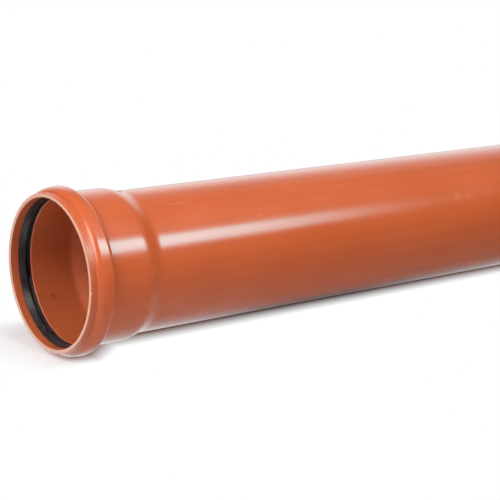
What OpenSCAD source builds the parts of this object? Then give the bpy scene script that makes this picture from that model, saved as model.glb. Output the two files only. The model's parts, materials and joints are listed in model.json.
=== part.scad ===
// Sewer pipe of orange-brown PVC: a barrel with a bevelled spigot at one end and a socket
// formed from the other end, with a rubber lip ring in the socket's groove.
// Every profile is given as corners [s, r, rounding]: s runs along the axis from the rim of
// the socket towards the spigot, r is the distance from the axis.

/* [Barrel] */
// Outside diameter of the barrel
pipe_od = 160; // [110:1:200]
// Wall of the barrel
pipe_wall = 4.7; // [3.2:0.1:6]
// Laying length, from the bottom of the socket to the spigot end
laying_length = 1000; // [500:50:2000]
// Length of the bevel on the spigot
bevel_length = 7; // [3:0.5:9]
// Angle of the bevel to the axis
bevel_angle = 15; // [10:1:18]

/* [Socket] */
// Depth of the socket, from the rim to its narrowing
socket_depth = 77; // [60:1:120]
// Radial play of a like spigot in the socket
socket_play = 0.45; // [0.3:0.05:0.8]
// Wall of the socket
socket_wall = 4.8; // [3.2:0.1:6]
// Length of the narrowing between socket and barrel
narrowing_length = 17.5; // [10:0.5:24]
// Rounding at both ends of the narrowing
narrowing_round = 30; // [10:1:35]

/* [Lip] */
// Radial step from the socket's bore to the inside of the lip
lip_step = 2.5; // [1:0.1:3]
// Wall of the lip
lip_wall = 5; // [3:0.1:6]
// Fall of the lip's outside from the rim to the bead
lip_fall = 0.9; // [0:0.1:1.5]
// Rounding of the rim's outer edge
rim_round = 2; // [0.5:0.1:2.5]
// Bevel of the rim's inner edge
rim_bevel = 0.8; // [0.3:0.1:1.5]

/* [Groove] */
// Distance from the rim to the groove
groove_start = 10.5; // [9:0.5:14]
// Width of the groove at its mouth
groove_width = 14.3; // [12:0.1:18]
// Depth of the groove below the inside of the lip
groove_depth = 6.2; // [5:0.1:8]
// Lean of the groove's front wall, along the axis
front_lean = 3.6; // [1:0.1:4.5]
// Lean of the groove's back wall, along the axis
back_lean = 1.3; // [1:0.1:3.5]
// Wall of the bead round the groove
bead_wall = 4.2; // [3:0.1:5]
// Rounding of the bead's front shoulder
bead_front_round = 8; // [1:0.5:10]
// Rounding of the bead's back shoulder and of its foot
bead_back_round = 5.5; // [1:0.5:6]
// Rise of the bead's crest from its front shoulder to its middle
bead_crown = 1.3; // [0.5:0.1:2.5]
// Rounding of the crest's middle
bead_crown_round = 45; // [20:1:60]

/* [Seal ring] */
// Gap between the ring and the groove
seal_gap = 0.2; // [0.1:0.05:0.4]
// Gap between the ring's sealing lip and a like spigot
seal_lip_gap = 0.1; // [0.1:0.05:0.3]
// Distance of the sealing lip's tip behind the groove's front edge
seal_lip_reach = 7; // [5:0.1:9]
// Thickness of the sealing lip
seal_lip_wall = 1.8; // [1.2:0.1:2.5]
// Thickness of the heel behind the sealing lip
seal_heel = 1.8; // [1:0.1:2.5]

/* [Hidden] */
$fn = 128;
arc_steps = 6;
most_of_side = 0.96;
pvc_color = "#C4582E";
rubber_color = "#2A2728";

// Radii, from the axis outwards
pipe_r = pipe_od / 2;
pipe_bore_r = pipe_r - pipe_wall;
bore_r = pipe_r + socket_play;
socket_r = bore_r + socket_wall;
lip_bore_r = bore_r + lip_step;
lip_r = lip_bore_r + lip_wall;
crease_r = lip_r - lip_fall;
groove_r = lip_bore_r + groove_depth;
bead_r = groove_r + bead_wall;
shoulder_r = bead_r - bead_crown;

// Lengths along the axis
pipe_length = socket_depth + laying_length;
narrowing_end = socket_depth + narrowing_length;
groove_end = groove_start + groove_width;
bevel_start = pipe_length - bevel_length;
bevel_r = pipe_r - bevel_length * tan(bevel_angle);

// Small roundings that follow the wall or the ring's own thickness
crease_round = lip_wall / 6;
groove_edge_round = lip_wall / 5;
groove_root_round = bead_wall / 3;
ring_round = seal_lip_wall / 2;

// Axial place of the groove's two walls at radius r, and of the bead's outer faces, one bead
// wall further out
front_slope = front_lean / groove_depth;
back_slope = back_lean / (groove_r - bore_r);
function front_wall(r) = groove_start + (r - lip_bore_r) * front_slope;
function back_wall(r) = groove_end - (r - bore_r) * back_slope;
function front_face(r) = front_wall(r) - bead_wall * norm([1, front_slope]);
function back_face(r) = back_wall(r) + bead_wall * norm([1, back_slope]);

// Rounding of an outline's corners. Corner b between a and c would take a stretch of both its
// sides for its full arc. Two arcs on one side share it in the ratio of what they would take.
function unit(v) = v / norm(v);
function place(corner) = [corner[0], corner[1]];
function half_angle(a, b, c) = acos(unit(a - b) * unit(c - b)) / 2;
function full_reach(a, b, c) = b[2] / tan(half_angle(place(a), place(b), place(c)));
function share(own, other, side) = most_of_side * side * own / (own + other);
function arc_corner(a, b, c, reach) =
    let (to_a = unit(a - b), to_c = unit(c - b), half = half_angle(a, b, c))
    let (centre = b + unit(to_a + to_c) * reach / cos(half))
    let (start = b + to_a * reach - centre)
    let (turn = sign(cross(to_a, to_c)) * (2 * half - 180))
    [for (i = [0:arc_steps]) let (t = turn * i / arc_steps)
        centre + [start.x * cos(t) - start.y * sin(t), start.x * sin(t) + start.y * cos(t)]];

function rounded(corners) =
    let (n = len(corners))
    let (before = [for (i = [0:n - 1]) (i + n - 1) % n], after = [for (i = [0:n - 1]) (i + 1) % n])
    let (full = [for (i = [0:n - 1]) full_reach(corners[before[i]], corners[i], corners[after[i]])])
    [for (i = [0:n - 1])
        let (a = place(corners[before[i]]), b = place(corners[i]), c = place(corners[after[i]]))
        each full[i] == 0 ? [b] : arc_corner(a, b, c, min(
            full[i],
            share(full[i], full[before[i]], norm(a - b)),
            share(full[i], full[after[i]], norm(c - b))))];

// The outside of the pipe from the rim to the spigot, then its inside from the spigot back
pipe_outside = [
    [0, lip_r, rim_round],
    [front_face(crease_r), crease_r, crease_round],
    [front_face(shoulder_r), shoulder_r, bead_front_round],
    [(front_face(shoulder_r) + back_face(bead_r)) / 2, bead_r, bead_crown_round],
    [back_face(bead_r), bead_r, bead_back_round],
    [back_face(socket_r), socket_r, bead_back_round],
    [socket_depth, socket_r, narrowing_round],
    [narrowing_end, pipe_r, narrowing_round],
    [bevel_start, pipe_r, 0],
    [pipe_length, bevel_r, 0]];
pipe_inside = [
    [pipe_length, pipe_bore_r, 0],
    [narrowing_end, pipe_bore_r, narrowing_round],
    [socket_depth, bore_r, narrowing_round],
    [groove_end, bore_r, groove_root_round],
    [back_wall(groove_r), groove_r, groove_root_round],
    [front_wall(groove_r), groove_r, groove_root_round],
    [groove_start, lip_bore_r, groove_edge_round],
    [rim_bevel, lip_bore_r, 0],
    [0, lip_bore_r + rim_bevel, 0]];
pipe_outline = rounded(concat(pipe_outside, pipe_inside));

// The ring fills the groove up to its gap. Its sealing lip reaches back from the front, its heel
// stands along the back wall, and a notch between them lets the lip give way
ring_r = groove_r - seal_gap;
heel_r = bore_r + seal_lip_wall / 3;
notch_r = bore_r + 2 * seal_lip_wall;
function heel_back(r) = back_wall(r) - seal_gap;
seal_tip_r = pipe_r + seal_lip_gap;
seal_tip = groove_start + seal_lip_reach;
seal_outline = [
    [front_wall(lip_bore_r) + seal_gap, lip_bore_r, ring_round / 2],
    [front_wall(ring_r) + seal_gap, ring_r, groove_root_round],
    [heel_back(ring_r), ring_r, groove_root_round],
    [heel_back(heel_r), heel_r, ring_round / 2],
    [heel_back(heel_r) - seal_heel, heel_r, ring_round / 2],
    [heel_back(notch_r) - seal_heel, notch_r, ring_round],
    [seal_tip - seal_lip_wall / 2, notch_r, ring_round],
    [seal_tip + seal_lip_wall / 2, seal_tip_r + seal_lip_wall / 2, ring_round / 4],
    [seal_tip, seal_tip_r, ring_round / 4]];

// Laid on the floor: the bead's crest and the foot of the bevel touch it, so the axis dips a
// little towards the spigot. The origin is on the floor under the middle of the axis.
crest_end = max([for (p = pipe_outline) if (p.y > bead_r - 0.001) p.x]);
dip = atan((bead_r - pipe_r) / (bevel_start - crest_end));
axis_height = bead_r * cos(dip) + crest_end * sin(dip);

module laid() {
    translate([-pipe_length * cos(dip) / 2, 0, axis_height])
        rotate([0, 90 + dip, 0])
            children();
}

module turned(outline) {
    rotate_extrude()
        polygon([for (p = outline) [p.y, p.x]]);
}

module pipe() {
    color(pvc_color)
        laid()
            turned(pipe_outline);
}

module seal_ring() {
    color(rubber_color)
        laid()
            turned(rounded(seal_outline));
}

pipe();
seal_ring();
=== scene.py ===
"""Looks of an orange-brown PVC sewer pipe with a formed socket and a rubber lip ring.

Both pieces are turned: a profile is drawn from corner to corner, its corners are rounded, and it is
spun about the pipe's axis. The pipe's sizes are in millimetres. Places in the frame and the studio's
sizes are in metres.
"""

import json
import logging
import math
from abc import ABC, abstractmethod
from dataclasses import dataclass, replace
from enum import Enum
from typing import Callable

import bpy
from bpy.types import Light, Material, MeshPolygon, Node, NodeSocket, NodeTree, Object
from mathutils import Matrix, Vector


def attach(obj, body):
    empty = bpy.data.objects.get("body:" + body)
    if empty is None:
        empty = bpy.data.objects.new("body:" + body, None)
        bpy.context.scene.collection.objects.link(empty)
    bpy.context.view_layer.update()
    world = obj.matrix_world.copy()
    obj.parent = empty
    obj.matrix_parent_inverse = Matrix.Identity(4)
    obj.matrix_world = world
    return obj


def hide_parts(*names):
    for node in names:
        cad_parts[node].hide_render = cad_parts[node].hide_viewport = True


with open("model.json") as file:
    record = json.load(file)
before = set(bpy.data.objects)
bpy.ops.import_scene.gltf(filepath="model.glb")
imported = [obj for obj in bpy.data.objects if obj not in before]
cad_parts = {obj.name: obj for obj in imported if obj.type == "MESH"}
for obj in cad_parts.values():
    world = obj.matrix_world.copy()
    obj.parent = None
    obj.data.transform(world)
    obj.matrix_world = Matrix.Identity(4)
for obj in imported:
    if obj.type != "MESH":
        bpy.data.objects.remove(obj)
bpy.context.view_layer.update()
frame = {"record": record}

MM = 0.001
BODY = "root"
WHITE = "#FFFFFF"
# A Mix node has sockets of the same names for each type of data. These are the numbers of the colours'.
COLOUR_A, COLOUR_B, COLOUR_RESULT = 6, 7, 2
LOG = logging.getLogger("sewer_pipe")


class CadNode(Enum):
    """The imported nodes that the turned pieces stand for."""

    PIPE = "pipe"
    SEAL_RING = "seal_ring"


class Slot(Enum):
    """The record's material slots."""

    PVC = "pvc"
    RUBBER = "rubber"


class WallFinish(Enum):
    """The finishes on the pipe's wall, by their place in its list of materials."""

    OUTSIDE = 0
    SOCKET_BORE = 1
    WATER_WAY = 2
    TRIMMED = 3


class RayUse(Enum):
    """What a lamp does: it lights matt colour, or it shows as a reflection."""

    MATT = "matt"
    GLOSS = "gloss"


class Pick(Enum):
    """What is selected by its place, with Blender's name for the way of selecting."""

    VERTICES = "VERT"
    FACES = "FACE"


def linear(hex_code: str) -> tuple[float, float, float, float]:
    """Turn an sRGB hex colour into linear light.

    Args:
        hex_code: The colour as "#RRGGBB".

    Returns:
        Red, green, blue and a full alpha, as shader sockets take them.
    """
    shares = [int(hex_code[i:i + 2], 16) / 255 for i in (1, 3, 5)]
    red, green, blue = (c / 12.92 if c <= 0.04045 else ((c + 0.055) / 1.055) ** 2.4 for c in shares)
    return red, green, blue, 1.0


def add_node(tree: NodeTree, kind: str, inputs: dict[str | int, object] | None = None,
             **settings: object) -> Node:
    """Add a node with its settings, and fill its inputs with values or links.

    Args:
        tree: The node tree that gets the node.
        kind: Blender's type name of the node.
        inputs: A value, or the socket to link from, for each input's name or number.
        **settings: Properties of the node itself.

    Returns:
        The new node.
    """
    node = tree.nodes.new(kind)
    for key, value in settings.items():
        setattr(node, key, value)
    for key, value in (inputs or {}).items():
        if isinstance(value, NodeSocket):
            tree.links.new(value, node.inputs[key])
        else:
            node.inputs[key].default_value = value
    return node


def new_material(name: str) -> tuple[Material, NodeTree]:
    """Make a material with an empty node tree.

    Args:
        name: The finish's name.

    Returns:
        The material and its node tree.
    """
    material = bpy.data.materials.new(name)
    material.use_nodes = True
    material.node_tree.nodes.clear()
    return material, material.node_tree


@dataclass(frozen=True)
class PipeAxis:
    """The pipe's own axis. It starts in the mouth of the socket and dips a little to the spigot."""

    mouth: Vector
    direction: Vector

    @classmethod
    def from_record(cls, record: dict, length: float) -> "PipeAxis":
        """Take the axis from the record's spigot. Its middle stands over the frame's origin.

        Args:
            record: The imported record.
            length: The pipe's whole length.

        Returns:
            The axis in the frame.
        """
        spigot = mount(record, "spigot")
        direction = Vector(spigot["axis"]).normalized()
        place = Vector(spigot["pos_m"])
        middle = place - direction * (place.x / direction.x)
        return cls(middle - direction * (length * MM / 2), direction)

    @property
    def up(self) -> Vector:
        """The upward direction square to the axis."""
        return Vector((-self.direction.z, 0.0, self.direction.x))

    @property
    def turn(self) -> tuple[float, float, float]:
        """The Euler angles that turn X into the axis."""
        return 0.0, math.atan2(-self.direction.z, self.direction.x), 0.0

    def point(self, along: float, radius: float, around: float = 0.0) -> Vector:
        """Place a point by its distance from the rim, its radius and its angle.

        Args:
            along: Distance from the rim along the axis.
            radius: Distance from the axis.
            around: Degrees from straight up, towards -Y.

        Returns:
            The point in the frame.
        """
        angle = math.radians(around)
        outward = self.up * math.cos(angle) - Vector((0.0, 1.0, 0.0)) * math.sin(angle)
        return self.mouth + (self.direction * along + outward * radius) * MM

    def along(self, place: Vector) -> float:
        """Give a place's distance from the rim along the axis."""
        return (place - self.mouth).dot(self.direction) / MM

    def outward(self, place: Vector) -> Vector:
        """Give the way from the axis straight out to a place."""
        offset = place - self.mouth
        return offset - self.direction * offset.dot(self.direction)

    def radius(self, place: Vector) -> float:
        """Give a place's distance from the axis."""
        return self.outward(place).length / MM

    def around(self, place: Vector) -> float:
        """Give a place's angle in degrees from straight up, towards -Y."""
        return math.degrees(math.atan2(-place.y, (place - self.mouth).dot(self.up)))


def mount(record: dict, name: str) -> dict:
    """Give one of the record's mounts by its name."""
    return next(entry for entry in record["mounts"] if entry["name"] == name)


@dataclass(frozen=True)
class PipeSizes:
    """The sizes that drive both profiles. The two fitting radii come from the record's mounts."""

    barrel_r: float
    bore_r: float
    barrel_wall: float = 4.7
    laying_length: float = 1000.0
    bevel_length: float = 7.0
    bevel_angle: float = 15.0
    socket_depth: float = 77.0
    socket_wall: float = 4.8
    narrowing_length: float = 17.5
    narrowing_round: float = 30.0
    lip_step: float = 2.5
    lip_wall: float = 5.0
    lip_fall: float = 0.9
    rim_round: float = 2.0
    rim_bevel: float = 0.8
    groove_start: float = 10.5
    groove_width: float = 14.3
    groove_depth: float = 6.2
    front_lean: float = 3.6
    back_lean: float = 1.3
    bead_wall: float = 4.2
    bead_crown: float = 1.3
    bead_crown_round: float = 45.0
    bead_front_round: float = 8.0
    bead_back_round: float = 5.5
    seal_gap: float = 0.2
    seal_lip_gap: float = 0.1
    seal_lip_reach: float = 7.0
    seal_lip_wall: float = 1.8
    seal_heel: float = 1.8

    @classmethod
    def from_record(cls, record: dict) -> "PipeSizes":
        """Take the barrel's and the socket's radius from the record."""
        return cls(mount(record, "spigot")["dims"]["r_mm"], mount(record, "socket")["dims"]["r_mm"])

    @property
    def length(self) -> float:
        """The whole length, socket included."""
        return self.socket_depth + self.laying_length

    @property
    def bevel_start(self) -> float:
        """Where the spigot's bevel begins."""
        return self.length - self.bevel_length

    @property
    def lip_bore_r(self) -> float:
        """Inner radius of the lip in front of the groove."""
        return self.bore_r + self.lip_step

    @property
    def lip_r(self) -> float:
        """Outer radius of the lip."""
        return self.lip_bore_r + self.lip_wall

    @property
    def groove_r(self) -> float:
        """Radius of the groove's floor."""
        return self.lip_bore_r + self.groove_depth

    @property
    def groove_end(self) -> float:
        """Where the groove ends at the socket's bore."""
        return self.groove_start + self.groove_width

    def front_wall(self, radius: float) -> float:
        """Give the axial place of the groove's front wall at a radius."""
        return self.groove_start + (radius - self.lip_bore_r) * self.front_lean / self.groove_depth

    def back_wall(self, radius: float) -> float:
        """Give the axial place of the groove's back wall at a radius."""
        return self.groove_end - (radius - self.bore_r) * self.back_lean / (self.groove_r - self.bore_r)

    def front_face(self, radius: float) -> float:
        """Give the axial place of the bead's front, one wall before the groove's."""
        return self.front_wall(radius) - self.bead_wall * math.hypot(1, self.front_lean / self.groove_depth)

    def back_face(self, radius: float) -> float:
        """Give the axial place of the bead's back, one wall behind the groove's."""
        slope = self.back_lean / (self.groove_r - self.bore_r)
        return self.back_wall(radius) + self.bead_wall * math.hypot(1, slope)


@dataclass(frozen=True)
class Corner:
    """A corner of a turned profile, with the radius that it is rounded to."""

    along: float
    radius: float
    rounding: float = 0.0

    def to(self, other: "Corner") -> Vector:
        """Give the way to another corner, along the axis and across it."""
        return Vector((other.along - self.along, other.radius - self.radius))

    def full_reach(self, before: "Corner", after: "Corner") -> float:
        """Give the stretch of both sides that the full rounding would take."""
        return self.rounding / math.tan(self.to(before).angle(self.to(after)) / 2)


def select(piece: Object, pick: Pick, wanted: Callable[[Vector], bool]) -> None:
    """Leave a piece in edit mode with only the wanted vertices or faces selected.

    Args:
        piece: The active mesh object.
        pick: Whether vertices or faces are selected.
        wanted: Says of a vertex's place, or of a face's middle, whether it is selected.
    """
    bpy.ops.object.mode_set(mode="EDIT")
    bpy.ops.mesh.select_mode(type=pick.value)
    bpy.ops.mesh.select_all(action="DESELECT")
    bpy.ops.object.mode_set(mode="OBJECT")
    if pick is Pick.VERTICES:
        for vertex in piece.data.vertices:
            vertex.select = wanted(vertex.co)
    else:
        for face in piece.data.polygons:
            face.select = wanted(face.center)
    bpy.ops.object.mode_set(mode="EDIT")


@dataclass
class TurnedPiece(ABC):
    """A piece that is turned about the pipe's axis from a closed profile."""

    axis: PipeAxis
    sizes: PipeSizes
    name: str
    node: CadNode
    slot: Slot
    turn_steps: int = 192
    arc_steps: int = 10
    most_of_side: float = 0.96
    touch: float = 0.02
    smooth_angle: float = 12.0
    wide_face_weight: int = 100

    @abstractmethod
    def corners(self) -> list[Corner]:
        """List the profile's corners in order."""

    @abstractmethod
    def dress(self, piece: Object) -> None:
        """Give the piece its finishes."""

    def build(self) -> Object:
        """Draw the profile, round it and spin it.

        Returns:
            The finished mesh object, at the origin.
        """
        corners = self.corners()
        piece = self.draw(corners)
        for corner, reach in zip(corners, self.reaches(corners)):
            if reach:
                self.round_off(piece, corner, reach)
        self.spin(piece)
        self.detail(piece)
        self.smooth(piece)
        return piece

    def draw(self, corners: list[Corner]) -> Object:
        """Draw the closed outline by drawing one vertex out from corner to corner.

        Args:
            corners: The profile's corners.

        Returns:
            A mesh object of loose edges, in edit mode.
        """
        points = [self.axis.point(corner.along, corner.radius) for corner in corners]
        bpy.ops.object.select_all(action="DESELECT")
        bpy.ops.mesh.primitive_plane_add(size=MM, location=points[0])
        piece = bpy.context.object
        piece.name = piece.data.name = self.name
        bpy.ops.object.transform_apply(location=True, rotation=True, scale=True)
        bpy.ops.object.mode_set(mode="EDIT")
        bpy.ops.mesh.select_mode(type="VERT")
        bpy.ops.mesh.select_all(action="SELECT")
        bpy.ops.mesh.merge(type="CENTER")
        for start, end in zip(points, points[1:]):
            bpy.ops.mesh.extrude_vertices_move(TRANSFORM_OT_translate={"value": end - start})
        ends = (points[0], points[-1])
        select(piece, Pick.VERTICES,
               lambda place: any((place - end).length < self.touch * MM for end in ends))
        bpy.ops.mesh.edge_face_add()
        return piece

    def reaches(self, corners: list[Corner]) -> list[float]:
        """Work out how far each corner's arc runs. Two arcs on one side share it.

        Args:
            corners: The profile's corners.

        Returns:
            The stretch of its two sides that each corner's arc takes.
        """
        afters = corners[1:] + corners[:1]
        full = [b.full_reach(a, c) for a, b, c in zip(corners[-1:] + corners, corners, afters)]
        reaches = full.copy()
        for i, (corner, after) in enumerate(zip(corners, afters)):
            j = (i + 1) % len(corners)
            wanted = full[i] + full[j]
            share = self.most_of_side * corner.to(after).length / wanted if wanted else 0.0
            reaches[i] = min(reaches[i], full[i] * share)
            reaches[j] = min(reaches[j], full[j] * share)
        return reaches

    def round_off(self, piece: Object, corner: Corner, reach: float) -> None:
        """Round one corner of the outline.

        Args:
            piece: The outline.
            corner: The corner that is rounded.
            reach: The stretch of its two sides that the arc takes.
        """
        tip = self.axis.point(corner.along, corner.radius)
        select(piece, Pick.VERTICES, lambda place: (place - tip).length < self.touch * MM)
        bpy.ops.mesh.bevel(offset_type="ABSOLUTE", offset=reach * MM, segments=self.arc_steps,
                           affect="VERTICES")

    def spin(self, piece: Object) -> None:
        """Spin the outline once round the axis and close the seam.

        Args:
            piece: The rounded outline. Not used.
        """
        bpy.ops.mesh.select_all(action="SELECT")
        bpy.ops.mesh.spin(steps=self.turn_steps, angle=math.tau, center=self.axis.mouth,
                          axis=self.axis.direction)
        bpy.ops.mesh.select_all(action="SELECT")
        bpy.ops.mesh.remove_doubles(threshold=self.touch * MM / 2)
        bpy.ops.mesh.normals_make_consistent(inside=False)
        bpy.ops.object.mode_set(mode="OBJECT")

    def detail(self, piece: Object) -> None:
        """Add what isn't turned. A plain piece has nothing of the kind."""

    def smooth(self, piece: Object) -> None:
        """Shade the roundings smooth, with the wide faces flat up to their edges.

        Args:
            piece: The spun mesh.
        """
        bpy.ops.object.shade_smooth_by_angle(angle=math.radians(self.smooth_angle))
        weighted = piece.modifiers.new("even_shading", "WEIGHTED_NORMAL")
        weighted.keep_sharp = True
        weighted.weight = self.wide_face_weight
        bpy.ops.object.modifier_apply(modifier=weighted.name)

    def fasten(self, piece: Object) -> None:
        """Hang the piece on the body, in place of its node.

        Args:
            piece: The finished mesh object.
        """
        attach(piece, BODY)
        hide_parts(self.node.value)


@dataclass(frozen=True)
class Fade:
    """An even change from one level to another, while a reading goes from start to end."""

    start: float
    end: float
    before: float = 0.0
    after: float = 1.0

    def over(self, reading: NodeSocket) -> dict[str | int, object]:
        """Give a Map Range node's inputs for the reading that the fade follows."""
        return {"Value": reading, "From Min": self.start, "From Max": self.end,
                "To Min": self.before, "To Max": self.after}


def pipe_place(tree: NodeTree, axis: PipeAxis, unit_mm: tuple[float, float],
               origin: Vector | None = None) -> NodeSocket:
    """Measure places along the pipe's axis and across it.

    Args:
        tree: The material's node tree.
        axis: The pipe's axis.
        unit_mm: The lengths that count as one, along the axis and across it.
        origin: Where the measuring starts. Without it, that is the middle of the mouth.

    Returns:
        The socket with the measured place.
    """
    along, across = (size * MM for size in unit_mm)
    place = add_node(tree, "ShaderNodeTexCoord").outputs["Object"]
    return add_node(tree, "ShaderNodeMapping",
                    {"Vector": place, "Location": axis.mouth if origin is None else origin,
                     "Rotation": axis.turn, "Scale": (along, across, across)},
                    vector_type="TEXTURE").outputs[0]


def axial_noise(tree: NodeTree, axis: PipeAxis, size_mm: tuple[float, float], detail: float) -> NodeSocket:
    """Lay a noise pattern out along the pipe.

    Args:
        tree: The material's node tree.
        axis: The pipe's axis.
        size_mm: Size of the pattern's features along the axis and across it.
        detail: Number of finer layers in the noise.

    Returns:
        The socket with the pattern, around 0.5.
    """
    laid = pipe_place(tree, axis, size_mm)
    return add_node(tree, "ShaderNodeTexNoise", {"Vector": laid, "Scale": 1.0, "Detail": detail}).outputs[0]


@dataclass(frozen=True)
class Mark:
    """A scratch or smudge from handling, or a patch of painted highlight. It fades out from its core to its
    edge.
    """

    along: float
    around: float
    half_length: float
    half_width: float
    colour: str
    strength: float
    radius: float = 80.0
    core: float = 0.3

    def lay(self, tree: NodeTree, axis: PipeAxis, ground: NodeSocket) -> NodeSocket:
        """Lay the mark over a colour.

        Args:
            tree: The material's node tree.
            axis: The pipe's axis.
            ground: The colour under the mark.

        Returns:
            The socket with the marked colour.
        """
        centre = axis.point(self.along, self.radius, self.around)
        own = pipe_place(tree, axis, (self.half_length, self.half_width), centre)
        away = add_node(tree, "ShaderNodeVectorMath", {0: own}, operation="LENGTH").outputs["Value"]
        share = add_node(tree, "ShaderNodeMapRange", Fade(self.core, 1.0, self.strength, 0.0).over(away),
                         interpolation_type="SMOOTHSTEP").outputs[0]
        return add_node(tree, "ShaderNodeMix",
                        {"Factor": share, COLOUR_A: ground, COLOUR_B: linear(self.colour)},
                        data_type="RGBA").outputs[COLOUR_RESULT]


@dataclass(frozen=True)
class ExtrudedPvc:
    """Unplasticised PVC, drawn hot through a die and cooled against a polished sleeve.

    It gives a clean, even orange-brown with a broad plastic gloss. The skin that formed against the
    sleeve lies clear over the pigmented body, so the wall turns pale where it is seen at a slant. Fine
    lines run along it from the die, the wall waves a little, and handling leaves short pale scratches
    and dulls the lip. Two soft pale patches further along are painted highlight, where the long
    highlight fades out.
    """

    name: str = "pvc_u_extruded"
    dark: str = "#BE5628"
    light: str = "#C75D30"
    scuffed: str = "#D98A66"
    ior: float = 1.53
    skin_ior: float = 1.5
    cloud_mm: tuple[float, float] = (90.0, 35.0)
    wave_mm: tuple[float, float] = (220.0, 60.0)
    # Lines and scratches are really some tenths of a millimetre wide. That is too fine to show, so
    # they are drawn wider.
    die_line_mm: tuple[float, float] = (900.0, 2.2)
    scratch_mm: tuple[float, float] = (28.0, 0.9)
    wave_height: float = 0.06
    die_line_height: float = 0.004
    die_line_share: float = 0.45
    contrast: Fade = Fade(0.35, 0.65)
    scuffing: Fade = Fade(0.74, 0.8, 0.0, 0.25)
    roughness: Fade = Fade(0.3, 0.7, 0.18, 0.23)
    lip_wear: Fade = Fade(7.0, 9.0, 0.12, 0.0)
    marks: tuple[Mark, ...] = (
        Mark(142.7, 31.0, 18.0, 1.1, "#E0875E", 0.4),
        Mark(238.0, 53.0, 4.0, 1.1, "#E0875E", 0.5),
        # The last two are painted highlight: soft pale patches in the long highlight's band, where it fades
        # out.
        Mark(549.0, 61.0, 9.0, 10.0, "#D98A66", 0.22, core=0.0),
        Mark(567.0, 62.0, 7.0, 9.0, "#D98A66", 0.16, core=0.0),
    )

    @classmethod
    def of_socket_bore(cls) -> "ExtrudedPvc":
        """Give the finish inside the socket, which is formed over a mandrel: duller than outside."""
        return cls("pvc_u_formed_bore", dark="#B85B35", light="#C1633C",
                   roughness=Fade(0.3, 0.7, 0.29, 0.3),
                   marks=(Mark(45.2, -123.6, 4.0, 4.0, "#7A2E14", 0.5, radius=80.45),))

    @classmethod
    def of_water_way(cls) -> "ExtrudedPvc":
        """Give the water way's finish: as dull, and a shade paler as painted light on its lit far wall."""
        # The paler colours are painted light, so the far wall beyond the narrowing shows brighter.
        return replace(cls.of_socket_bore(), name="pvc_u_air_cooled_bore", dark="#C56643", light="#CE6F4B",
                       marks=())

    def build(self, axis: PipeAxis) -> Material:
        """Make the finish.

        Args:
            axis: The pipe's axis, along which the die's lines run.

        Returns:
            The material.
        """
        material, tree = new_material(self.name)
        clouds = axial_noise(tree, axis, self.cloud_mm, detail=2.0)
        lines = axial_noise(tree, axis, self.die_line_mm, detail=3.0)
        waves = axial_noise(tree, axis, self.wave_mm, detail=0.0)
        tone = add_node(tree, "ShaderNodeMix",
                        {"Factor": self.die_line_share, "A": clouds, "B": lines}).outputs["Result"]
        gloss = self.worn_gloss(tree, axis, tone)
        waved = add_node(tree, "ShaderNodeBump", {"Height": waves, "Distance": self.wave_height * MM})
        lined = add_node(tree, "ShaderNodeBump", {"Height": lines, "Distance": self.die_line_height * MM,
                                                  "Normal": waved.outputs[0]})
        shader = add_node(tree, "ShaderNodeBsdfPrincipled",
                          {"Base Color": self.marked_colour(tree, axis, tone), "Roughness": gloss,
                           "IOR": self.ior, "Normal": lined.outputs[0], "Coat Weight": 1.0,
                           "Coat Roughness": gloss, "Coat IOR": self.skin_ior,
                           "Coat Normal": lined.outputs[0]})
        add_node(tree, "ShaderNodeOutputMaterial", {"Surface": shader.outputs[0]})
        return material

    def marked_colour(self, tree: NodeTree, axis: PipeAxis, tone: NodeSocket) -> NodeSocket:
        """Mix the wall's colour, with its scratches and marks.

        Args:
            tree: The material's node tree.
            axis: The pipe's axis.
            tone: The pattern of clouds and lines.

        Returns:
            The socket with the colour.
        """
        spread = add_node(tree, "ShaderNodeMapRange", self.contrast.over(tone)).outputs[0]
        colour = add_node(tree, "ShaderNodeMix",
                          {"Factor": spread, COLOUR_A: linear(self.dark), COLOUR_B: linear(self.light)},
                          data_type="RGBA").outputs[COLOUR_RESULT]
        scratches = axial_noise(tree, axis, self.scratch_mm, detail=1.0)
        wear = add_node(tree, "ShaderNodeMapRange", self.scuffing.over(scratches)).outputs[0]
        colour = add_node(tree, "ShaderNodeMix",
                          {"Factor": wear, COLOUR_A: colour, COLOUR_B: linear(self.scuffed)},
                          data_type="RGBA").outputs[COLOUR_RESULT]
        for mark in self.marks:
            colour = mark.lay(tree, axis, colour)
        return colour

    def worn_gloss(self, tree: NodeTree, axis: PipeAxis, tone: NodeSocket) -> NodeSocket:
        """Work out the wall's roughness, which is higher on the worn lip.

        Args:
            tree: The material's node tree.
            axis: The pipe's axis.
            tone: The pattern of clouds and lines.

        Returns:
            The socket with the roughness.
        """
        even = add_node(tree, "ShaderNodeMapRange", self.roughness.over(tone)).outputs[0]
        place = pipe_place(tree, axis, (1.0, 1.0))
        along = add_node(tree, "ShaderNodeSeparateXYZ", {0: place}).outputs["X"]
        worn = add_node(tree, "ShaderNodeMapRange", self.lip_wear.over(along)).outputs[0]
        return add_node(tree, "ShaderNodeMath", {0: even, 1: worn}, operation="ADD").outputs[0]


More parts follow.
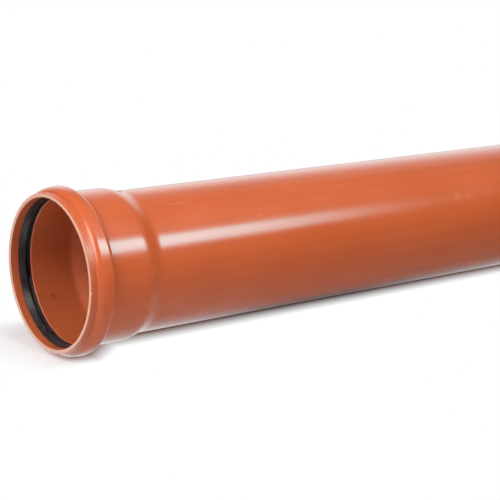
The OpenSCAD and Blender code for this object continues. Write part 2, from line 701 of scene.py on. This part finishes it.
@dataclass(frozen=True)
class TrimmedPvc:
    """The same PVC where a blade has trimmed it: the rim of the socket and the spigot's bevel.

    Cutting whitens it to a pale peach with little gloss, and the blade leaves rings round the axis.
    """

    name: str = "pvc_u_trimmed"
    pale: str = "#D8A995"
    dark: str = "#CC9A83"
    ior: float = 1.53
    roughness: float = 0.42
    # The blade's own rings are about 0.3 mm apart. That is too fine to show, so they are drawn wider.
    ring_mm: float = 1.3
    ring_height: float = 0.02
    unevenness: float = 0.6

    def build(self, axis: PipeAxis) -> Material:
        """Make the finish.

        Args:
            axis: The pipe's axis, which the blade's rings go round.

        Returns:
            The material.
        """
        material, tree = new_material(self.name)
        turned = pipe_place(tree, axis, (self.ring_mm, self.ring_mm))
        # The wave node repeats every pi / 10 units at scale 1.
        rings = add_node(tree, "ShaderNodeTexWave",
                         {"Vector": turned, "Scale": math.pi / 10, "Distortion": self.unevenness},
                         wave_type="RINGS", rings_direction="X").outputs["Fac"]
        colour = add_node(tree, "ShaderNodeMix",
                          {"Factor": rings, COLOUR_A: linear(self.dark), COLOUR_B: linear(self.pale)},
                          data_type="RGBA").outputs[COLOUR_RESULT]
        bump = add_node(tree, "ShaderNodeBump", {"Height": rings, "Distance": self.ring_height * MM})
        shader = add_node(tree, "ShaderNodeBsdfPrincipled",
                          {"Base Color": colour, "Roughness": self.roughness, "IOR": self.ior,
                           "Normal": bump.outputs[0]})
        add_node(tree, "ShaderNodeOutputMaterial", {"Surface": shader.outputs[0]})
        return material


@dataclass(frozen=True)
class MouldedRubber:
    """Black sealing rubber from a steel mould.

    It gives a deep neutral black with a satin, slightly cloudy sheen, where the lubricant has dried.
    """

    name: str = "rubber_moulded"
    black: str = "#1B1718"
    bloom: str = "#2B2728"
    ior: float = 1.52
    cloud_mm: tuple[float, float] = (9.0, 14.0)
    # The mould's own grain is about 0.2 mm. That is too fine to show, so it is drawn coarser.
    grain_mm: tuple[float, float] = (0.9, 0.9)
    grain_height: float = 0.006
    contrast: Fade = Fade(0.35, 0.65)
    roughness: Fade = Fade(0.35, 0.65, 0.25, 0.3)

    def build(self, axis: PipeAxis) -> Material:
        """Make the finish.

        Args:
            axis: The pipe's axis, which the clouds are laid out along.

        Returns:
            The material.
        """
        material, tree = new_material(self.name)
        clouds = axial_noise(tree, axis, self.cloud_mm, detail=2.0)
        grain = axial_noise(tree, axis, self.grain_mm, detail=2.0)
        spread = add_node(tree, "ShaderNodeMapRange", self.contrast.over(clouds)).outputs[0]
        colour = add_node(tree, "ShaderNodeMix",
                          {"Factor": spread, COLOUR_A: linear(self.black), COLOUR_B: linear(self.bloom)},
                          data_type="RGBA").outputs[COLOUR_RESULT]
        gloss = add_node(tree, "ShaderNodeMapRange", self.roughness.over(clouds)).outputs[0]
        bump = add_node(tree, "ShaderNodeBump", {"Height": grain, "Distance": self.grain_height * MM})
        shader = add_node(tree, "ShaderNodeBsdfPrincipled",
                          {"Base Color": colour, "Roughness": gloss, "IOR": self.ior,
                           "Normal": bump.outputs[0]})
        add_node(tree, "ShaderNodeOutputMaterial", {"Surface": shader.outputs[0]})
        return material


@dataclass
class SewerPipe(TurnedPiece):
    """The pipe itself: barrel, narrowing, socket, ring bead and lip, in one piece of PVC."""

    name: str = "pvc_pipe"
    node: CadNode = CadNode.PIPE
    slot: Slot = Slot.PVC
    trimmed_from: float = 0.6
    burr_around: float = 92.8
    burr_reach: float = 0.9
    burr_inset: float = 0.12
    burr_height: float = 0.4
    burr_lean: float = 0.15

    def corners(self) -> list[Corner]:
        """List the outside from the rim to the spigot, then the inside back to the rim.

        Returns:
            The profile's corners.
        """
        z = self.sizes
        bead_r = z.groove_r + z.bead_wall
        shoulder_r = bead_r - z.bead_crown
        crease_r = z.lip_r - z.lip_fall
        socket_r = z.bore_r + z.socket_wall
        waterway_r = z.barrel_r - z.barrel_wall
        narrowing_end = z.socket_depth + z.narrowing_length
        bevel_r = z.barrel_r - z.bevel_length * math.tan(math.radians(z.bevel_angle))
        root_round = z.bead_wall / 3
        crest = (z.front_face(shoulder_r) + z.back_face(bead_r)) / 2
        outside = [
            Corner(0.0, z.lip_r, z.rim_round),
            Corner(z.front_face(crease_r), crease_r, z.lip_wall / 6),
            Corner(z.front_face(shoulder_r), shoulder_r, z.bead_front_round),
            Corner(crest, bead_r, z.bead_crown_round),
            Corner(z.back_face(bead_r), bead_r, z.bead_back_round),
            Corner(z.back_face(socket_r), socket_r, z.bead_back_round),
            Corner(z.socket_depth, socket_r, z.narrowing_round),
            Corner(narrowing_end, z.barrel_r, z.narrowing_round),
            Corner(z.bevel_start, z.barrel_r),
            Corner(z.length, bevel_r),
        ]
        inside = [
            Corner(z.length, waterway_r),
            Corner(narrowing_end, waterway_r, z.narrowing_round),
            Corner(z.socket_depth, z.bore_r, z.narrowing_round),
            Corner(z.groove_end, z.bore_r, root_round),
            Corner(z.back_wall(z.groove_r), z.groove_r, root_round),
            Corner(z.front_wall(z.groove_r), z.groove_r, root_round),
            Corner(z.groove_start, z.lip_bore_r, z.lip_wall / 5),
            Corner(z.rim_bevel, z.lip_bore_r),
            Corner(0.0, z.lip_bore_r + z.rim_bevel),
        ]
        return outside + inside

    def on_burr(self, place: Vector) -> bool:
        """Say whether the burr stands at a place.

        Args:
            place: A place on the pipe's surface.

        Returns:
            Whether it is on the rim's outer rounding, at the burr's angle.
        """
        half_step = 180 / self.turn_steps
        if abs(self.axis.around(place) - self.burr_around) > half_step:
            return False
        rounded = self.axis.radius(place) > self.sizes.lip_r - self.sizes.rim_round
        return rounded and self.touch < self.axis.along(place) < self.burr_reach

    def detail(self, piece: Object) -> None:
        """Raise the burr that the trimming blade left on the rim's outer edge.

        Args:
            piece: The spun pipe.
        """
        select(piece, Pick.FACES, self.on_burr)
        bpy.ops.mesh.inset(thickness=self.burr_inset * MM)
        foot = self.axis.point(0.0, 0.0, self.burr_around)
        tip = self.axis.point(self.burr_lean, self.burr_height, self.burr_around)
        bpy.ops.mesh.extrude_region_move(TRANSFORM_OT_translate={"value": tip - foot})
        bpy.ops.object.mode_set(mode="OBJECT")

    def dress(self, piece: Object) -> None:
        """Give the outside, the socket's bore, the water way and the cut ends their finishes.

        Args:
            piece: The spun pipe.
        """
        finishes = {
            WallFinish.OUTSIDE: ExtrudedPvc(),
            WallFinish.SOCKET_BORE: ExtrudedPvc.of_socket_bore(),
            WallFinish.WATER_WAY: ExtrudedPvc.of_water_way(),
            WallFinish.TRIMMED: TrimmedPvc(),
        }
        for wall in WallFinish:
            piece.data.materials.append(finishes[wall].build(self.axis))
        for face in piece.data.polygons:
            face.material_index = self.finish_of(face).value

    def finish_of(self, face: MeshPolygon) -> WallFinish:
        """Say which finish a face of the wall gets.

        Args:
            face: A face of the spun pipe.

        Returns:
            The face's finish.
        """
        z = self.sizes
        inward = face.normal.dot(self.axis.outward(face.center).normalized()) < -self.touch
        along, radius = self.axis.along(face.center), self.axis.radius(face.center)
        rim = along < z.rim_bevel and radius < z.lip_r - z.rim_round * self.trimmed_from
        spigot = along > z.bevel_start and not inward
        if rim or spigot or self.on_burr(face.center):
            return WallFinish.TRIMMED
        if not inward:
            return WallFinish.OUTSIDE
        return WallFinish.WATER_WAY if along > z.socket_depth else WallFinish.SOCKET_BORE


@dataclass
class SealRing(TurnedPiece):
    """The rubber ring in the groove: a sealing lip that reaches back, a notch and a heel behind it."""

    name: str = "rubber_seal_ring"
    node: CadNode = CadNode.SEAL_RING
    slot: Slot = Slot.RUBBER

    def corners(self) -> list[Corner]:
        """List the ring's corners from its front edge round the groove to the heel and the lip.

        Returns:
            The profile's corners.
        """
        z = self.sizes
        ring_r = z.groove_r - z.seal_gap
        heel_r = z.bore_r + z.seal_lip_wall / 3
        notch_r = z.bore_r + 2 * z.seal_lip_wall
        tip_r = z.barrel_r + z.seal_lip_gap
        tip = z.groove_start + z.seal_lip_reach
        root_round = z.bead_wall / 3
        ring_round = z.seal_lip_wall / 2
        return [
            Corner(z.front_wall(z.lip_bore_r) + z.seal_gap, z.lip_bore_r, ring_round / 2),
            Corner(z.front_wall(ring_r) + z.seal_gap, ring_r, root_round),
            Corner(z.back_wall(ring_r) - z.seal_gap, ring_r, root_round),
            Corner(z.back_wall(heel_r) - z.seal_gap, heel_r, ring_round / 2),
            Corner(z.back_wall(heel_r) - z.seal_gap - z.seal_heel, heel_r, ring_round / 2),
            Corner(z.back_wall(notch_r) - z.seal_gap - z.seal_heel, notch_r, ring_round),
            Corner(tip - z.seal_lip_wall / 2, notch_r, ring_round),
            Corner(tip + z.seal_lip_wall / 2, tip_r + z.seal_lip_wall / 2, ring_round / 4),
            Corner(tip, tip_r, ring_round / 4),
        ]

    def dress(self, piece: Object) -> None:
        """Give the ring its rubber finish.

        Args:
            piece: The spun ring.
        """
        piece.data.materials.append(MouldedRubber().build(self.axis))


@dataclass(frozen=True)
class Softbox:
    """A rectangular lamp that faces a point, in metres. It may fade out, or light one piece alone."""

    name: str
    place: Vector
    target: Vector
    width: float
    length: float
    radiance: float
    use: RayUse
    tint: str = WHITE
    fade_from: float | None = None
    only: Object | None = None

    def build(self) -> None:
        """Hang the lamp."""
        lamp = bpy.data.lights.new(self.name, "AREA")
        lamp.shape = "RECTANGLE"
        lamp.size, lamp.size_y = self.length, self.width
        # A lamp's radiance is its power over four times its area.
        lamp.energy = self.radiance * 4 * self.width * self.length
        lamp.color = linear(self.tint)[:3]
        box = bpy.data.objects.new(self.name, lamp)
        box.location = self.place
        box.rotation_euler = (self.target - self.place).to_track_quat("-Z", "Y").to_euler()
        box.visible_camera = False
        box.visible_diffuse = self.use is RayUse.MATT
        box.visible_glossy = self.use is RayUse.GLOSS
        bpy.context.scene.collection.objects.link(box)
        if self.fade_from is not None:
            self.fade(lamp)
        if self.only is not None:
            reached = bpy.data.collections.new(self.name)
            reached.objects.link(self.only)
            box.light_linking.receiver_collection = reached

    def fade(self, lamp: Light) -> None:
        """Let the lamp's far end fade out along its length.

        Args:
            lamp: The lamp's data.
        """
        lamp.use_nodes = True
        tree = lamp.node_tree
        tree.nodes.clear()
        place = add_node(tree, "ShaderNodeNewGeometry").outputs["Parametric"]
        share = add_node(tree, "ShaderNodeSeparateXYZ", {0: place}).outputs["X"]
        bright = add_node(tree, "ShaderNodeMapRange", Fade(self.fade_from, 1.0, 1.0, 0.0).over(share),
                          interpolation_type="SMOOTHSTEP").outputs[0]
        glow = add_node(tree, "ShaderNodeEmission", {"Strength": bright})
        add_node(tree, "ShaderNodeOutputLight", {0: glow.outputs[0]})


def seen_plainly(tree: NodeTree) -> NodeSocket:
    """Tell the rays that show the background itself: the camera's, and those through a clear piece.

    Args:
        tree: The background's node tree.

    Returns:
        The socket that is 1 for such a ray.
    """
    path = add_node(tree, "ShaderNodeLightPath").outputs
    return add_node(tree, "ShaderNodeMath", {0: path["Is Camera Ray"], 1: path["Is Transmission Ray"]},
                    operation="MAXIMUM").outputs[0]


@dataclass(frozen=True)
class BackgroundPaper:
    """Matt white paper from a roll, on the studio's floor. Places on it are in metres.

    It gives the eye plain white, and takes the pipe's shadow in a strip along the pipe. Gloss sees a
    painted glow in its place, seen only in reflections: a dim floor, with two pale glowing patches
    under the pipe.
    """

    name: str = "background_paper"
    shaded: str = "#EDEDED"
    bounced: str = "#DADADA"
    # The strip of shadow and the glowing patches lie along this line, a little behind the pipe's axis.
    strip_y: float = 0.06
    # The strip of shadow: where it ends past the pipe's ends and at its sides, how much narrower it gets
    # towards the socket for each metre, and how much wider it is under the bead.
    ends: Fade = Fade(0.5, 0.62)
    sides: Fade = Fade(0.055, 0.09)
    narrowing: float = 0.034
    bead: Fade = Fade(-0.5, -0.46, 0.035, 0.0)
    # The floor's glow in gloss is painted light: it darkens to the sides and away from the socket, and
    # the two pale glowing patches fade out.
    dim_across: Fade = Fade(0.14, 0.26, 0.3, 0.1)
    dim_along: Fade = Fade(-0.35, -0.2, 1.1, 0.6)
    glow_patch_edge: Fade = Fade(0.06, 0.12, 1.0, 0.0)
    near_glow_patch: Fade = Fade(-0.5, -0.25, 0.9, 0.0)
    far_glow_patch: Fade = Fade(-0.1, 0.15, 0.0, 0.6)

    def build(self) -> Material:
        """Make the paper.

        Returns:
            The material.
        """
        material, tree = new_material(self.name)
        place = add_node(tree, "ShaderNodeTexCoord").outputs["Object"]
        x = add_node(tree, "ShaderNodeSeparateXYZ", {0: place}).outputs["X"]
        moved = add_node(tree, "ShaderNodeVectorMath", {0: place, 1: (0.0, self.strip_y, 0.0)},
                         operation="SUBTRACT").outputs[0]
        away = add_node(tree, "ShaderNodeVectorMath", {0: moved}, operation="ABSOLUTE").outputs[0]
        along, across, _ = add_node(tree, "ShaderNodeSeparateXYZ", {0: away}).outputs
        glossy = add_node(tree, "ShaderNodeLightPath").outputs["Is Glossy Ray"]
        seen = seen_plainly(tree)
        # Painted reflection: gloss sees the paper as a glow at the mirrored level, not as lit paper.
        mirrored = self.mirrored(tree, x, across)
        level = add_node(tree, "ShaderNodeMix",
                         {"Factor": glossy, "A": 1.0, "B": mirrored}).outputs["Result"]
        white = add_node(tree, "ShaderNodeMath", {0: seen, 1: self.unshaded(tree, x, along, across)},
                         operation="MULTIPLY").outputs[0]
        glowing = add_node(tree, "ShaderNodeMath", {0: white, 1: glossy}, operation="MAXIMUM").outputs[0]
        tone = add_node(tree, "ShaderNodeMix",
                        {"Factor": seen, COLOUR_A: linear(self.bounced), COLOUR_B: linear(self.shaded)},
                        data_type="RGBA").outputs[COLOUR_RESULT]
        matt = add_node(tree, "ShaderNodeBsdfDiffuse", {"Color": tone})
        glow = add_node(tree, "ShaderNodeEmission", {"Strength": level})
        mixed = add_node(tree, "ShaderNodeMixShader", {0: glowing, 1: matt.outputs[0], 2: glow.outputs[0]})
        add_node(tree, "ShaderNodeOutputMaterial", {"Surface": mixed.outputs[0]})
        return material

    def mirrored(self, tree: NodeTree, x: NodeSocket, across: NodeSocket) -> NodeSocket:
        """Work out the floor's painted glow in a gloss: a dim floor with two pale patches.

        Args:
            tree: The material's node tree.
            x: The place along the frame's X.
            across: The distance from the strip's line.

        Returns:
            The socket with the brightness.
        """
        dim_across, dim_along, glow_patch_edge, near_glow_patch, far_glow_patch = (
            add_node(tree, "ShaderNodeMapRange", fade.over(reading)).outputs[0]
            for fade, reading in ((self.dim_across, across), (self.dim_along, x), (self.glow_patch_edge, across),
                                  (self.near_glow_patch, x), (self.far_glow_patch, x)))
        floor = add_node(tree, "ShaderNodeMath", {0: dim_across, 1: dim_along},
                         operation="MULTIPLY").outputs[0]
        glow_patches = add_node(tree, "ShaderNodeMath", {0: near_glow_patch, 1: far_glow_patch}, operation="ADD").outputs[0]
        return add_node(tree, "ShaderNodeMath", {0: glow_patch_edge, 1: glow_patches, 2: floor},
                        operation="MULTIPLY_ADD").outputs[0]

    def unshaded(self, tree: NodeTree, x: NodeSocket, along: NodeSocket, across: NodeSocket) -> NodeSocket:
        """Tell where the paper is plain white: past the pipe's ends, and beside the strip of shadow.

        Args:
            tree: The material's node tree.
            x: The place along the frame's X.
            along: The distance from the pipe's middle along X.
            across: The distance from the strip's line.

        Returns:
            The socket that is 1 where the paper is white.
        """
        bead = add_node(tree, "ShaderNodeMapRange", self.bead.over(x)).outputs[0]
        reach = add_node(tree, "ShaderNodeMath", {0: x, 1: self.narrowing, 2: bead},
                         operation="MULTIPLY_ADD").outputs[0]
        past = add_node(tree, "ShaderNodeMath", {0: across, 1: reach}, operation="SUBTRACT").outputs[0]
        sides = add_node(tree, "ShaderNodeMapRange", self.sides.over(past)).outputs[0]
        ends = add_node(tree, "ShaderNodeMapRange", self.ends.over(along)).outputs[0]
        return add_node(tree, "ShaderNodeMath", {0: ends, 1: sides}, operation="MAXIMUM").outputs[0]


@dataclass
class Studio:
    """A white paper floor, a long softbox beside the pipe, soft lamps at its mouth, and the camera.

    Floor and lamps are in metres. The camera's place is given in millimetres, by the mouth of the
    socket as the camera sees it: right, down and forward.
    """

    axis: PipeAxis
    ring: Object
    photo_side_px: float = 500.0
    focal_px: float = 1517.6
    sensor_mm: float = 36.0
    clip_start: float = 0.05
    azimuth: float = -37.72
    elevation: float = 12.98
    mouth_right: float = -217.6
    mouth_down: float = 25.8
    mouth_forward: float = 1634.7
    floor_side: float = 24.0
    floor_sink: float = 0.0001
    # The level of the light from all round, and what gloss shows of the room, its backdrop and ceiling.
    fill: float = 0.256
    room: float = 0.032
    backdrop: float = 0.96
    ceiling: float = 0.19
    # Where the backdrop and the ceiling begin, as parts of a direction of length 1.
    backdrop_left: Fade = Fade(-0.4, 0.2)
    backdrop_front: Fade = Fade(0.1, 0.45)
    ceiling_edge: Fade = Fade(0.28, 0.74)
    strip_elevation: float = 38.0
    strip_distance: float = 1.5
    strip_left: float = -0.6
    strip_fade: float = 0.55
    strip_right: float = 1.3

    def build(self) -> None:
        """Set up floor, surroundings, lamps and camera."""
        bpy.context.scene.view_settings.view_transform = "Standard"
        self.lay_floor()
        self.surround()
        self.hang_lamps()
        self.place_camera()

    def lay_floor(self) -> None:
        """Lay the white paper that the pipe lies on."""
        bpy.ops.object.select_all(action="DESELECT")
        bpy.ops.mesh.primitive_plane_add(size=self.floor_side, location=(0.0, 0.0, -self.floor_sink))
        floor = bpy.context.object
        floor.name = "studio_floor"
        floor.data.materials.append(BackgroundPaper().build())

    def surround(self) -> None:
        """Close the studio: white to the camera, and to gloss a dim room with a white backdrop behind."""
        world = bpy.data.worlds.new("studio")
        world.use_nodes = True
        tree = world.node_tree
        tree.nodes.clear()
        way = add_node(tree, "ShaderNodeTexCoord").outputs["Generated"]
        parts = add_node(tree, "ShaderNodeSeparateXYZ", {0: way}).outputs
        beside, behind, above = (
            add_node(tree, "ShaderNodeMapRange", fade.over(part),
                     interpolation_type="SMOOTHSTEP").outputs[0]
            for fade, part in zip((self.backdrop_left, self.backdrop_front, self.ceiling_edge), parts))
        white = add_node(tree, "ShaderNodeMath", {0: behind, 1: beside}, operation="MULTIPLY").outputs[0]
        walls = add_node(tree, "ShaderNodeMix",
                         {"Factor": white, "A": self.room, "B": self.backdrop}).outputs["Result"]
        room = add_node(tree, "ShaderNodeMix",
                        {"Factor": above, "A": walls, "B": self.ceiling}).outputs["Result"]
        glossy = add_node(tree, "ShaderNodeLightPath").outputs["Is Glossy Ray"]
        lit = add_node(tree, "ShaderNodeMix",
                       {"Factor": glossy, "A": self.fill, "B": room}).outputs["Result"]
        level = add_node(tree, "ShaderNodeMix",
                         {"Factor": seen_plainly(tree), "A": lit, "B": 1.0}).outputs["Result"]
        back = add_node(tree, "ShaderNodeBackground", {"Color": linear(WHITE), "Strength": level})
        add_node(tree, "ShaderNodeOutputWorld", {0: back.outputs[0]})
        bpy.context.scene.world = world

    def hang_lamps(self) -> None:
        """Hang the long softbox that draws the highlight, the soft light from above and the mouth's lamps.

        Of the mouth's lamps, one lights the inside of the socket, one shows in its gloss, and one gives
        the rubber its sheen. The last reaches the ring alone, so that it draws nothing on the bead.
        """
        rise = math.radians(self.strip_elevation)
        mouth = self.axis.mouth
        axis_height = Vector((0.0, 0.0, mouth.z))
        length = self.strip_right - self.strip_left
        middle = axis_height + Vector(((self.strip_left + self.strip_right) / 2, 0.0, 0.0))
        away = Vector((0.0, -math.cos(rise), math.sin(rise))) * self.strip_distance
        lamps = (
            Softbox("strip_softbox", place=middle + away, target=middle, width=0.46, length=length,
                    radiance=6.2, use=RayUse.GLOSS, tint="#98F4FF",
                    fade_from=(self.strip_fade - self.strip_left) / length),
            Softbox("top_light", place=Vector((0.0, -0.78, 1.5)), target=axis_height, width=1.2, length=1.6,
                    radiance=2.8, use=RayUse.MATT),
            Softbox("mouth_light", place=mouth + Vector((-1.73, -0.41, 1.59)), target=mouth, width=1.3,
                    length=1.3, radiance=8.2, use=RayUse.MATT),
            Softbox("mouth_glint", place=mouth + Vector((-2.1, -0.42, 1.08)), target=mouth, width=1.3,
                    length=1.3, radiance=3.4, use=RayUse.GLOSS),
            Softbox("ring_glint", place=mouth + Vector((-0.19, -0.95, 1.15)), target=mouth, width=0.6,
                    length=0.6, radiance=2.8, use=RayUse.GLOSS, only=self.ring),
        )
        for lamp in lamps:
            lamp.build()

    def place_camera(self) -> None:
        """Put the camera where it sees the mouth of the socket as in the photograph."""
        turn, drop = math.radians(self.azimuth), math.radians(self.elevation)
        right = Vector((math.cos(turn), math.sin(turn), 0.0))
        level = Vector((-math.sin(turn), math.cos(turn), 0.0))
        forward = level * math.cos(drop) - Vector((0.0, 0.0, math.sin(drop)))
        down = forward.cross(right)
        offset = right * self.mouth_right + down * self.mouth_down + forward * self.mouth_forward
        data = bpy.data.cameras.new("camera")
        data.sensor_width = self.sensor_mm
        data.lens = self.sensor_mm * self.focal_px / self.photo_side_px
        data.clip_start = self.clip_start
        camera = bpy.data.objects.new("camera", data)
        camera.location = self.axis.mouth - offset * MM
        camera.rotation_euler = (math.pi / 2 - drop, 0.0, turn)
        bpy.context.scene.collection.objects.link(camera)
        bpy.context.scene.camera = camera


def main() -> None:
    """Build the pipe, its ring and the studio, and report each piece."""
    logging.basicConfig(level=logging.INFO, format="%(name)s: %(message)s")
    sizes = PipeSizes.from_record(frame["record"])
    axis = PipeAxis.from_record(frame["record"], sizes.length)
    pieces = {}
    for part in (SewerPipe(axis, sizes), SealRing(axis, sizes)):
        piece = part.build()
        part.dress(piece)
        part.fasten(piece)
        pieces[part.node] = piece
        LOG.info("%s: %d faces", piece.name, len(piece.data.polygons))
    Studio(axis, ring=pieces[CadNode.SEAL_RING]).build()


if __name__ == "__main__":
    main()
